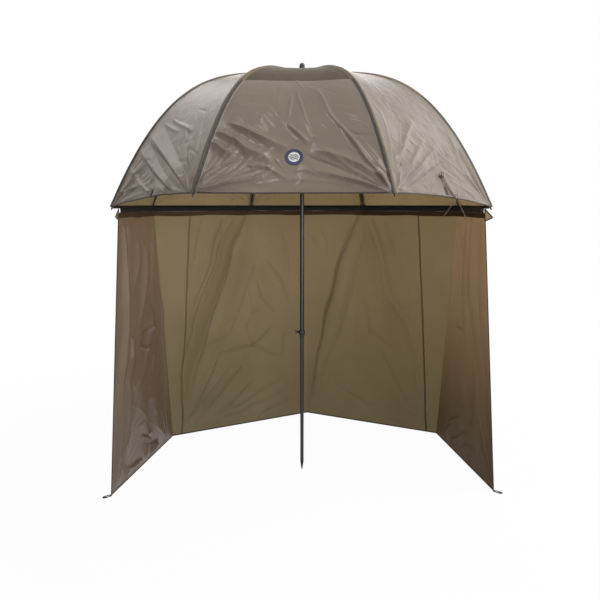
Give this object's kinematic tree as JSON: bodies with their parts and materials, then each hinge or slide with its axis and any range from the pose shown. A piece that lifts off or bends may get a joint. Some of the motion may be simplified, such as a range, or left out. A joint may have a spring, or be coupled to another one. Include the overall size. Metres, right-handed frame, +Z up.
{
  "type": "umbrella tent",
  "caption": "Fishing umbrella with curved ribs on a two-piece ground pole, with a zipped wall that wraps round the sides and back and is pegged at its corners.",
  "frame": {"origin": "the tip of the ground spike, on the pole's axis, at ground level", "axes": "+Z up along the pole, +Y to the back of the tent, so the open front faces -Y, +X to the right of someone who looks in"},
  "size_m": [2.0036, 1.9843, 2.1516],
  "materials": {
    "cloth": "coated nylon, taupe outside, olive where light comes through",
    "webbing": "black woven webbing and zip tape",
    "pole_paint": "satin black paint",
    "steel": "dull steel",
    "plastic": "black moulded plastic",
    "rib_wire": "black coated wire",
    "cord": "grey-brown braided cord",
    "badge": "woven patch, navy ring",
    "zip_metal": "grey-green zip metal"
  },
  "bodies": {
    "pole": {"upper_pole": "pole_paint", "pole_clamp": "plastic", "top_notch": "plastic", "notch_ring": "steel", "ferrule_cap": "plastic", "runner_spring": "steel", "wall_left": "cloth", "wall_back": "cloth", "wall_right": "cloth", "zip_band": "webbing", "flap_left": "cloth", "flap_right": "cloth", "peg_loop_1": "webbing", "peg_loop_2": "webbing", "peg_loop_3": "webbing", "peg_loop_4": "webbing", "peg_loop_5": "webbing"},
    "mast": {"lower_pole": "pole_paint", "ground_spike": "steel"},
    "screw": {"clamp_screw": "plastic"},
    "runner": {"runner": "plastic"},
    "slider": {"zip_slider": "zip_metal"},
    "rib_body_1": {"rib_1": "rib_wire", "rib_cap_1": "plastic", "canopy_1": "cloth", "badge": "badge", "cord_bridge": "webbing", "guy_cord": "cord"},
    "stretcher_body_1": {"stretcher_1": "rib_wire"},
    "rib_body_2": {"rib_2": "rib_wire", "rib_cap_2": "plastic", "canopy_2": "cloth", "hem_tab_right": "webbing"},
    "stretcher_body_2": {"stretcher_2": "rib_wire"},
    "rib_body_3": {"rib_3": "rib_wire", "rib_cap_3": "plastic", "canopy_3": "cloth"},
    "stretcher_body_3": {"stretcher_3": "rib_wire"},
    "rib_body_4": {"rib_4": "rib_wire", "rib_cap_4": "plastic", "canopy_4": "cloth"},
    "stretcher_body_4": {"stretcher_4": "rib_wire"},
    "rib_body_5": {"rib_5": "rib_wire", "rib_cap_5": "plastic", "canopy_5": "cloth"},
    "stretcher_body_5": {"stretcher_5": "rib_wire"},
    "rib_body_6": {"rib_6": "rib_wire", "rib_cap_6": "plastic", "canopy_6": "cloth"},
    "stretcher_body_6": {"stretcher_6": "rib_wire"},
    "rib_body_7": {"rib_7": "rib_wire", "rib_cap_7": "plastic", "canopy_7": "cloth"},
    "stretcher_body_7": {"stretcher_7": "rib_wire"},
    "rib_body_8": {"rib_8": "rib_wire", "rib_cap_8": "plastic", "canopy_8": "cloth", "hem_tab_left": "webbing"},
    "stretcher_body_8": {"stretcher_8": "rib_wire"}
  },
  "joints": [
    {"name": "mast_slide", "type": "slide", "parent": "pole", "child": "mast", "axis": [0, 0, 1], "range_m": [-0.1, 0.55]},
    {"name": "clamp_turn", "type": "hinge", "parent": "pole", "child": "screw", "pos_m": [-0.02, 0, 0.769], "axis": [1, 0, 0], "range_deg": [0, 360]},
    {"name": "runner_slide", "type": "slide", "parent": "pole", "child": "runner", "axis": [0, 0, -1], "range_m": [0, 0.5387], "deforming": ["runner_spring", "wall_left", "wall_back", "wall_right", "zip_band", "flap_left", "flap_right"]},
    {"name": "rib_1_fold", "type": "hinge", "parent": "pole", "child": "rib_body_1", "pos_m": [0.00918, -0.02217, 2.1], "axis": [0.9239, 0.3827, 0], "range_deg": [0, 47.1], "deforming": ["canopy_1"]},
    {"name": "stretcher_1_fold", "type": "hinge", "parent": "rib_body_1", "child": "stretcher_body_1", "pos_m": [0.16041, -0.38727, 2.03812], "axis": [0.9239, 0.3827, 0], "range_deg": [-94.2, 0]},
    {"name": "rib_2_fold", "type": "hinge", "parent": "pole", "child": "rib_body_2", "pos_m": [0.02217, -0.00918, 2.1], "axis": [0.3827, 0.9239, 0], "range_deg": [0, 47.1], "deforming": ["canopy_2"]},
    {"name": "stretcher_2_fold", "type": "hinge", "parent": "rib_body_2", "child": "stretcher_body_2", "pos_m": [0.38727, -0.16041, 2.03812], "axis": [0.3827, 0.9239, 0], "range_deg": [-94.2, 0]},
    {"name": "rib_3_fold", "type": "hinge", "parent": "pole", "child": "rib_body_3", "pos_m": [0.02217, 0.00918, 2.1], "axis": [-0.3827, 0.9239, 0], "range_deg": [0, 47.1], "deforming": ["canopy_3"]},
    {"name": "stretcher_3_fold", "type": "hinge", "parent": "rib_body_3", "child": "stretcher_body_3", "pos_m": [0.38727, 0.16041, 2.03812], "axis": [-0.3827, 0.9239, 0], "range_deg": [-94.2, 0]},
    {"name": "rib_4_fold", "type": "hinge", "parent": "pole", "child": "rib_body_4", "pos_m": [0.00918, 0.02217, 2.1], "axis": [-0.9239, 0.3827, 0], "range_deg": [0, 47.1], "deforming": ["canopy_4"]},
    {"name": "stretcher_4_fold", "type": "hinge", "parent": "rib_body_4", "child": "stretcher_body_4", "pos_m": [0.16041, 0.38727, 2.03812], "axis": [-0.9239, 0.3827, 0], "range_deg": [-94.2, 0]},
    {"name": "rib_5_fold", "type": "hinge", "parent": "pole", "child": "rib_body_5", "pos_m": [-0.00918, 0.02217, 2.1], "axis": [-0.9239, -0.3827, 0], "range_deg": [0, 47.1], "deforming": ["canopy_5"]},
    {"name": "stretcher_5_fold", "type": "hinge", "parent": "rib_body_5", "child": "stretcher_body_5", "pos_m": [-0.16041, 0.38727, 2.03812], "axis": [-0.9239, -0.3827, 0], "range_deg": [-94.2, 0]},
    {"name": "rib_6_fold", "type": "hinge", "parent": "pole", "child": "rib_body_6", "pos_m": [-0.02217, 0.00918, 2.1], "axis": [-0.3827, -0.9239, 0], "range_deg": [0, 47.1], "deforming": ["canopy_6"]},
    {"name": "stretcher_6_fold", "type": "hinge", "parent": "rib_body_6", "child": "stretcher_body_6", "pos_m": [-0.38727, 0.16041, 2.03812], "axis": [-0.3827, -0.9239, 0], "range_deg": [-94.2, 0]},
    {"name": "rib_7_fold", "type": "hinge", "parent": "pole", "child": "rib_body_7", "pos_m": [-0.02217, -0.00918, 2.1], "axis": [0.3827, -0.9239, 0], "range_deg": [0, 47.1], "deforming": ["canopy_7"]},
    {"name": "stretcher_7_fold", "type": "hinge", "parent": "rib_body_7", "child": "stretcher_body_7", "pos_m": [-0.38727, -0.16041, 2.03812], "axis": [0.3827, -0.9239, 0], "range_deg": [-94.2, 0]},
    {"name": "rib_8_fold", "type": "hinge", "parent": "pole", "child": "rib_body_8", "pos_m": [-0.00918, -0.02217, 2.1], "axis": [0.9239, -0.3827, 0], "range_deg": [0, 47.1], "deforming": ["canopy_8"]},
    {"name": "stretcher_8_fold", "type": "hinge", "parent": "rib_body_8", "child": "stretcher_body_8", "pos_m": [-0.16041, -0.38727, 2.03812], "axis": [0.9239, -0.3827, 0], "range_deg": [-94.2, 0]},
    {"name": "zip_slide", "type": "slide", "parent": "pole", "child": "slider", "axis": [0, 1, 0], "range_m": [0, 0.5]}
  ],
  "couplings": [
    {"joint": "rib_1_fold", "follows": "runner_slide", "rad_per_m": 1.5228},
    {"joint": "stretcher_1_fold", "follows": "runner_slide", "rad_per_m": -3.0455},
    {"joint": "rib_2_fold", "follows": "runner_slide", "rad_per_m": 1.5228},
    {"joint": "stretcher_2_fold", "follows": "runner_slide", "rad_per_m": -3.0455},
    {"joint": "rib_3_fold", "follows": "runner_slide", "rad_per_m": 1.5228},
    {"joint": "stretcher_3_fold", "follows": "runner_slide", "rad_per_m": -3.0455},
    {"joint": "rib_4_fold", "follows": "runner_slide", "rad_per_m": 1.5228},
    {"joint": "stretcher_4_fold", "follows": "runner_slide", "rad_per_m": -3.0455},
    {"joint": "rib_5_fold", "follows": "runner_slide", "rad_per_m": 1.5228},
    {"joint": "stretcher_5_fold", "follows": "runner_slide", "rad_per_m": -3.0455},
    {"joint": "rib_6_fold", "follows": "runner_slide", "rad_per_m": 1.5228},
    {"joint": "stretcher_6_fold", "follows": "runner_slide", "rad_per_m": -3.0455},
    {"joint": "rib_7_fold", "follows": "runner_slide", "rad_per_m": 1.5228},
    {"joint": "stretcher_7_fold", "follows": "runner_slide", "rad_per_m": -3.0455},
    {"joint": "rib_8_fold", "follows": "runner_slide", "rad_per_m": 1.5228},
    {"joint": "stretcher_8_fold", "follows": "runner_slide", "rad_per_m": -3.0455}
  ]
}
